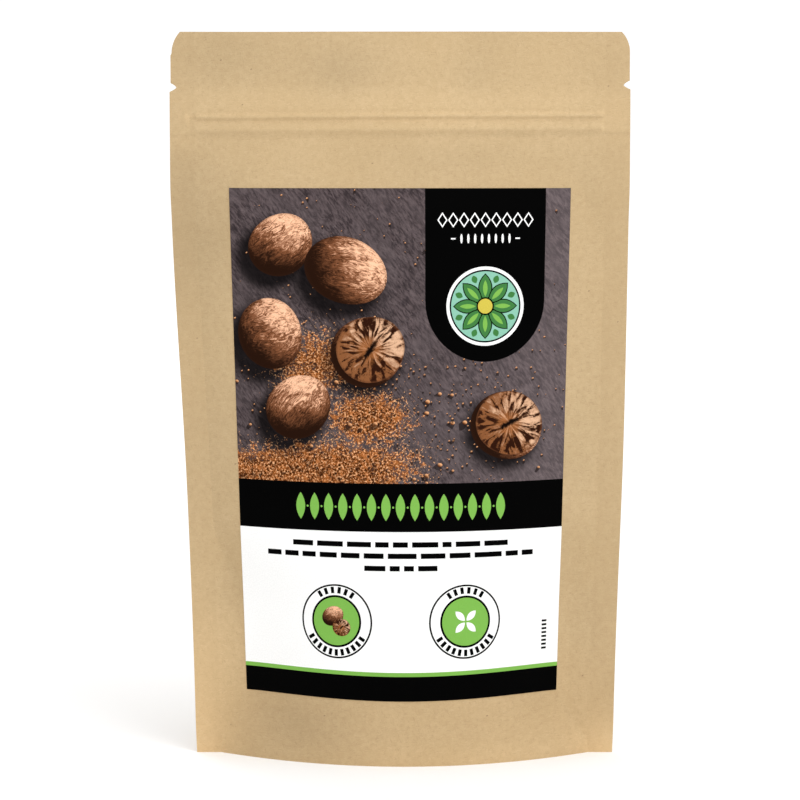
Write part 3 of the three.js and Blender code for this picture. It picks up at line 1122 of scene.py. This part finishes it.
sheet_x = x_on_pouch(flat[:, 0], flat[:, 1])
sheet_z = flat[:, 1]
sheet_normal = film_normal(sheet_x, sheet_z)
on_film = np.stack([sheet_x, front_film(sheet_x, sheet_z), sheet_z], axis=-1)
glued = on_film + LABEL_LIFT * sheet_normal
printed = on_film + (LABEL_LIFT + LABEL_THICK) * sheet_normal
print("ends of the label on the film, mm:", np.round([sheet_x.min(), sheet_x.max()], 2))

# %% [markdown]
# ### Sheet of paper with two faces
# The printed face and the glued face share the same triangles. A strip round the border joins them, so the
# label has the white cut edge of real paper and is a closed body.

# %% Label mesh
oriented = faces.copy()
corner = flat[oriented]
area = np.cross(corner[:, 1] - corner[:, 0], corner[:, 2] - corner[:, 0])
oriented[area < 0] = oriented[area < 0][:, ::-1]
count = len(flat)
directed = np.concatenate([oriented[:, [0, 1]], oriented[:, [1, 2]], oriented[:, [2, 0]]])
paired = {tuple(edge) for edge in directed}
border = [(i, j) for i, j in directed if (j, i) not in paired]
wall = [(j, i, i + count, j + count) for i, j in border]
all_faces = oriented.tolist() + (oriented[:, ::-1] + count).tolist() + wall

label_mesh = bpy.data.meshes.new("front_label")
label_mesh.from_pydata((np.concatenate([printed, glued]) * MM).tolist(), [], all_faces)
plain = np.full(len(faces) + len(wall), len(ink_names), dtype=np.int32)     # the bare paper, after the inks
label_mesh.polygons.foreach_set("material_index", np.concatenate([face_ink, plain]))
print("label faces:", len(label_mesh.polygons), "border edges:", len(border))

# %% UV maps and shading values of the label
# share of the bake square, and start in it, of the printed and of the glued face
BAKE_SHARES = ((0.94, 0.01), (0.03, 0.965))
SEED_STEP = 3.7

label_uv = np.stack([(flat[:, 0] + LABEL_HALF) / (2 * LABEL_HALF),
                     (flat[:, 1] - LABEL_BOTTOM) / (LABEL_TOP - LABEL_BOTTOM)], axis=-1)
add_uv(label_mesh, "OFBake", np.concatenate([label_uv * share + start for share, start in BAKE_SHARES]))
add_uv(label_mesh, "sheet", np.concatenate([flat, flat]) / PAPER_UNIT)


def motif_place(at, motif):
    """Places in a motif's own frame, where its edge is at distance 1."""
    a, h, half_wide, half_tall, turn = motif
    return rotated(at - (a, h), -turn) / (half_wide, half_tall)


motif_layer = label_mesh.uv_layers.new(name="motif")
corner_motif = np.zeros((len(label_mesh.loops), 2), dtype=np.float32)
face_seed = np.zeros(len(label_mesh.polygons), dtype=np.float32)
for number, motif in enumerate(motifs):
    chosen = np.flatnonzero(face_motif == number)
    corners = (chosen[:, None] * 3 + np.arange(3)).ravel()
    corner_motif[corners] = motif_place(flat[oriented[chosen]].reshape(-1, 2), motif)
    face_seed[chosen] = SEED_STEP * number + 1
motif_layer.data.foreach_set("uv", corner_motif.ravel())
store(label_mesh, "seed", face_seed, "FACE")
print("motifs:", len(motifs))

# %% Shadows, ground spice and crumbs of the picture
SHADOW_SHIFT = (-2.4, -2.9)
SHADOW_CORE = 0.7           # full shadow up to here, in sizes of the nut
SHADOW_EASE = 0.85
DRIFT_HEIGHT, DRIFT_SLOPE, DRIFT_HALF = 84.0, 0.12, 9.5
DRIFT_END, DRIFT_EASE = 24.0, 50.0
DRIFT_AMOUNT = 1.15
# a, h, half width, half height and amount of two heaps and of the field of crumbs
HEAPS = ((-9.0, 98.0, 13.0, 8.0, 0.85), (-25.0, 113.0, 13.0, 11.0, 0.7))
CRUMB_FIELD = (8.0, 97.0, 28.0, 17.0, 1.0)
CRUMBS_ELSEWHERE = 0.12


def picture_values(at):
    """Shadow beside each nut, the drift of ground spice and the loose crumbs, at places on the sheet."""
    a, h = at.T
    shadow = np.zeros(len(at))
    for nut in WHOLE_NUTS + CUT_NUTS:
        cast = (nut[0] + SHADOW_SHIFT[0], nut[1] + SHADOW_SHIFT[1], *nut[2:])
        reach = np.linalg.norm(motif_place(at, cast), axis=1)
        shadow = np.maximum(shadow, 1 - smooth((reach - SHADOW_CORE) / SHADOW_EASE))
    drift = hump(h, DRIFT_HEIGHT + DRIFT_SLOPE * a, DRIFT_HALF) * smooth((DRIFT_END - a) / DRIFT_EASE)
    heaps = [bells([heap], a, h) for heap in HEAPS]
    spice = np.maximum.reduce([DRIFT_AMOUNT * drift, *heaps])
    return shadow, clamp01(spice), clamp01(bells([CRUMB_FIELD], a, h) + CRUMBS_ELSEWHERE)


for name, values in zip(("shadow", "spice", "crumbs"), picture_values(flat)):
    store(label_mesh, name, np.concatenate([values, values]))
    print(name, "mean:", round(float(values.mean()), 2))

# %% [markdown]
# ### Inks
# Flat inks are plain colours with the faint unevenness of printed paper. The slate, the nut skin, the cut
# face and the spice are built from stretched and turned noise. The nut inks treat their motif's coordinates
# as a dome and shade it from the upper right, as the picture of a round nut would be.

# %% Flat inks
PRINT_ROUGHNESS = 0.5
EDGE_ROUGHNESS = 0.6
PRINT_SHINE = 0.015
GRAIN_SHADE = 0.95
INK_COLOURS = {
    "black": linear(2, 2, 2), "white": linear(250, 250, 249), "mint": linear(140, 194, 172),
    "leaf_green": linear(126, 182, 82), "deep_green": linear(66, 124, 66), "yellow": linear(206, 189, 78),
}
made_inks = {}


def printed_finish(paint, tone, rough=PRINT_ROUGHNESS):
    return paint.set(Base_Color=tone, Roughness=rough, Specular_IOR_Level=PRINT_SHINE)


def flat_ink(name, colour, rough=PRINT_ROUGHNESS):
    paint = PaperFinish(name)
    grain = paint.noise(paint.uv("sheet"), 26.0, 2)
    shade = tuple(c * GRAIN_SHADE for c in colour[:3]) + (1.0,)
    paint.bump(grain, 0.000012, 0.35)
    return printed_finish(paint, paint.mix(paint.between(grain, 0.35, 0.65), shade, colour), rough)


print("flat inks:", list(INK_COLOURS))


# %% Slate with ground spice
def slate_tone(slate, sheet):
    """Dark slate with streaks, ledges, cracks and pale crests, a little lighter to the right."""
    streak = slate.noise(slate.turned(sheet, -0.95, 3.2), 15.0, 3, 0.5, 0.3)
    ledge = slate.noise(slate.turned(sheet, -0.8, 2.6, (3, 1, 0)), 4.6, 4, 0.58, 0.6)
    ripple = slate.noise(slate.turned(sheet, -0.9, 2.8, (6, 2, 0)), 5.5, 4, 0.6, 1.3)
    cloud = slate.noise(sheet, 0.6, 3, 0.5, 0.5)
    slate.bump(streak, 0.000015, 0.3)
    tone = slate.mix(slate.between(streak, 0.3, 0.7), linear(56, 48, 50), linear(92, 80, 81))
    return slate.layers(
        tone,
        (ledge, 0.52, 0.66, 0.4, (38, 32, 33)),
        (ledge, 0.46, 0.32, 0.35, (112, 99, 100)),
        (slate.away(ripple, 0.5), 0.03, 0.0, 0.4, (34, 27, 28)),
        (slate.away(ripple, 0.57), 0.025, 0.0, 0.25, (132, 119, 119)),
        (cloud, 0.4, 0.7, 0.3, (92, 82, 83)),
        (slate.parts(sheet)[0], -1.0, 5.4, 0.18, (150, 137, 139)))


def spice_tone(slate, clump, fine, shadow):
    """Ground spice: dark hollows, brown grains and pale chips."""
    tone = slate.mix(slate.between(fine, 0.40, 0.53), linear(38, 16, 5), linear(156, 90, 44))
    tone = slate.layers(
        tone,
        (fine, 0.54, 0.65, 1.0, (246, 194, 146)),
        (clump, 0.50, 0.36, 0.75, (46, 21, 8)),
        (clump, 0.54, 0.66, 0.5, (196, 118, 60)))
    return slate.tint(tone, shadow, 0.6, (26, 14, 8))


print("slate as light:", [round(v, 3) for v in linear(92, 80, 81)])

# %% Crumbs on the slate
# scale of the cells, and share of them that hold a crumb: a few large crumbs and many small ones
CRUMB_CELLS = ((3.4, 0.16), (7.5, 0.45))


def crumbs_over(slate, tone, sheet, fine):
    """Loose crumbs, lit from the upper right, each with a small shadow."""
    for number, (size, share) in enumerate(CRUMB_CELLS):
        scattered = slate.turned(sheet, 0.7 * number, 1.25, (number, 0, 0))
        cells = slate.cells(scattered, size)
        lot = slate.parts(cells["Color"])
        reach = slate.math("MULTIPLY_ADD", lot[1], 0.14, 0.05)
        uneven = slate.math("MULTIPLY_ADD", fine, 0.12, slate.math("SUBTRACT", cells["Distance"], 0.06))
        chance = slate.math("MULTIPLY", slate.value("crumbs"), share)
        thrown = slate.math("LESS_THAN", lot[0], chance)
        off_middle = slate.vector("SUBTRACT", scattered, cells["Position"])
        lit = slate.vector("DOT_PRODUCT", off_middle, (0.6 * size, 0.8 * size, 0))
        cast = slate.math("LESS_THAN", uneven, slate.math("MULTIPLY_ADD", lit, -0.8, reach))
        tone = slate.tint(tone, slate.math("MULTIPLY", cast, thrown), 0.75, (26, 18, 16))
        crumb = slate.math("LESS_THAN", uneven, reach)
        crumb_tone = slate.mix(slate.between(lit, -0.14, 0.12), linear(92, 48, 22), linear(226, 166, 118))
        tone = slate.mix(slate.math("MULTIPLY", crumb, thrown), tone, crumb_tone)
    return tone


def slate_ink():
    slate = PaperFinish("slate_print")
    sheet = slate.uv("sheet")
    shadow = slate.between(slate.value("shadow"), 0.02, 0.9)
    clump = slate.noise(sheet, 4.5, 5, 0.74, 0.3)
    fine = slate.noise(slate.turned(sheet, 0.4, 1.0, (5, 2, 0)), 17.0, 4, 0.74)
    grains = slate.math("MULTIPLY_ADD", fine, 0.5, slate.math("MULTIPLY", clump, 0.5))
    heaped = slate.math("MULTIPLY_ADD", slate.value("spice"), 1.9, -2.95)
    covered = slate.between(slate.math("MULTIPLY_ADD", grains, 4.4, heaped), 0.0, 0.22)
    tone = slate.tint(slate_tone(slate, sheet), shadow, 0.92, (10, 8, 9))
    tone = slate.mix(covered, tone, spice_tone(slate, clump, fine, shadow))
    return printed_finish(slate, crumbs_over(slate, tone, sheet, fine))


made_inks["slate"] = slate_ink()
print("slate nodes:", len(made_inks["slate"].node_tree.nodes))


# %% Nut skin
def nut_frame(paint):
    """Seeded coordinates over a dome, its squared radius and its light from the upper right."""
    place = paint.uv("motif")
    across, up = paint.parts(place)[:2]
    squared = paint.math("ADD", paint.math("MULTIPLY", across, across), paint.math("MULTIPLY", up, up))
    dome = paint.math("SQRT", paint.math("MAXIMUM", paint.math("SUBTRACT", 1.0, squared), 0.0))
    light = paint.math("MULTIPLY_ADD", across, 0.56, paint.math("MULTIPLY_ADD", up, 0.52, -0.02))
    light = paint.math("MULTIPLY_ADD", dome, 0.42, light)
    stretch = paint.math("MULTIPLY_ADD", squared, 0.7, 1.0)
    wrapped = paint.vector("MULTIPLY", place, paint.joined(stretch, stretch, 1.0))
    seed = paint.value("seed")
    return paint.vector("ADD", wrapped, paint.joined(seed, seed)), squared, light


def nut_skin_ink():
    skin = PaperFinish("nut_skin_print")
    place, squared, light = nut_frame(skin)
    furrows = skin.noise(skin.turned(place, 0.15, 2.8), 7.5, 6, 0.7, 1.6)
    veins = skin.noise(skin.turned(place, -0.3, 2.0), 2.8, 5, 0.62, 1.8)
    patches = skin.noise(place, 1.7, 3, 0.55, 0.6)
    relief = skin.math("MULTIPLY", skin.math("SUBTRACT", furrows, 0.54), 2.0)
    relief = skin.math("MULTIPLY_ADD", skin.math("SUBTRACT", patches, 0.5), 0.7, relief)
    relief = skin.math("SUBTRACT", relief, skin.between(skin.away(veins, 0.5), 0.04, 0.0, 0.0, 0.2))
    lit = skin.math("MULTIPLY_ADD", relief, skin.between(light, -0.3, 0.6, 0.5, 1.05), light)
    tone = skin.mix(skin.between(lit, -0.32, 0.52), linear(36, 18, 9), linear(138, 86, 56))
    return printed_finish(skin, skin.layers(
        tone,
        (lit, 0.26, 0.84, 1.0, (252, 197, 160)),
        (squared, 0.82, 1.0, 0.26, (48, 27, 17))))


made_inks["nut_skin"] = nut_skin_ink()
print("nut skin nodes:", len(made_inks["nut_skin"].node_tree.nodes))


# %% Cut face of a nut
def nut_cut_ink():
    """Dark folds that run in from the rim, over a pale face with a dark slit in its heart."""
    cut = PaperFinish("nut_cut_print")
    place, squared, light = nut_frame(cut)
    radius = cut.math("SQRT", squared)
    seed = cut.value("seed")
    outward = cut.vector("MULTIPLY", cut.vector("NORMALIZE", cut.uv("motif")), (2.3, 2.3, 2.3))
    fold_place = cut.vector("ADD", outward, cut.joined(seed, seed, cut.math("MULTIPLY", radius, 1.1)))
    folds = cut.noise(fold_place, 2.0, 2, 0.5, 0.8, "3D")
    blotch = cut.noise(place, 6.5, 4, 0.65, 0.7)
    fold_share = cut.math("MULTIPLY_ADD", cut.math("SUBTRACT", blotch, 0.5), 0.24, folds)
    pale = cut.between(cut.math("MULTIPLY_ADD", light, 0.28, fold_share), 0.55, 0.86)
    heart = cut.math("MULTIPLY_ADD", blotch, 0.55, radius)
    slit = cut.math("MULTIPLY_ADD", blotch, 0.16, cut.vector("LENGTH", cut.turned(cut.uv("motif"), 0.9, 4.2)))
    return printed_finish(cut, cut.layers(
        cut.mix(pale, linear(136, 86, 52), linear(222, 178, 144)),
        (fold_share, 0.53, 0.42, 1.0, (44, 20, 10)),
        (cut.noise(place, 17.0, 3, 0.7), 0.56, 0.7, 0.5, (70, 36, 18)),
        (heart, 0.75, 0.45, 0.6, (168, 104, 58)),
        (slit, 0.2, 0.13, 1.0, (18, 9, 6)),
        (radius, 0.93, 1.0, 0.6, (96, 58, 36))))


made_inks["nut_cut"] = nut_cut_ink()
print("cut face nodes:", len(made_inks["nut_cut"].node_tree.nodes))

# %% Ink the label
for name in ink_names:
    label_mesh.materials.append(made_inks.get(name) or flat_ink(name + "_ink", INK_COLOURS[name]))
label_mesh.materials.append(flat_ink("label_paper_edge", linear(244, 243, 240), EDGE_ROUGHNESS))
front_label = placed("front_label", smoothed(label_mesh))
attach(front_label, "root")
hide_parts("label")
print("inks:", len(label_mesh.materials))

# %% [markdown]
# ## The floor
# The pouch stands on a plain pale floor that runs out of sight. Only the soft contact shadow of the skirt
# shows on it. Away from the pouch it glows a little, like the lit sweep of a studio, so that it stays white
# to the horizon without throwing much light up at the pouch.

# %% Floor
FLOOR_HALF = 20.0           # metres
GLOW_DISTANCES = (0.3, 1.3)     # metres from the pouch
GLOW_STRENGTHS = (0.03, 0.26)

floor_mesh = bpy.data.meshes.new("floor")
floor_mesh.from_pydata((FLOOR_HALF * np.array([(-1, -1, 0), (1, -1, 0), (1, 1, 0), (-1, 1, 0)])).tolist(),
                       [], [(0, 1, 2, 3)])
floor_finish = Finish("pale_floor")
floor_distance = floor_finish.vector("LENGTH", floor_finish.node("ShaderNodeTexCoord").outputs["Object"])
glow = floor_finish.between(floor_distance, *GLOW_DISTANCES, *GLOW_STRENGTHS)
floor_mesh.materials.append(floor_finish.set(
    Base_Color=linear(250, 250, 250), Roughness=0.9, Specular_IOR_Level=0.1,
    Emission_Color=(1, 1, 1, 1), Emission_Strength=glow))
floor = placed("floor", floor_mesh)
print("floor, metres:", 2 * FLOOR_HALF)
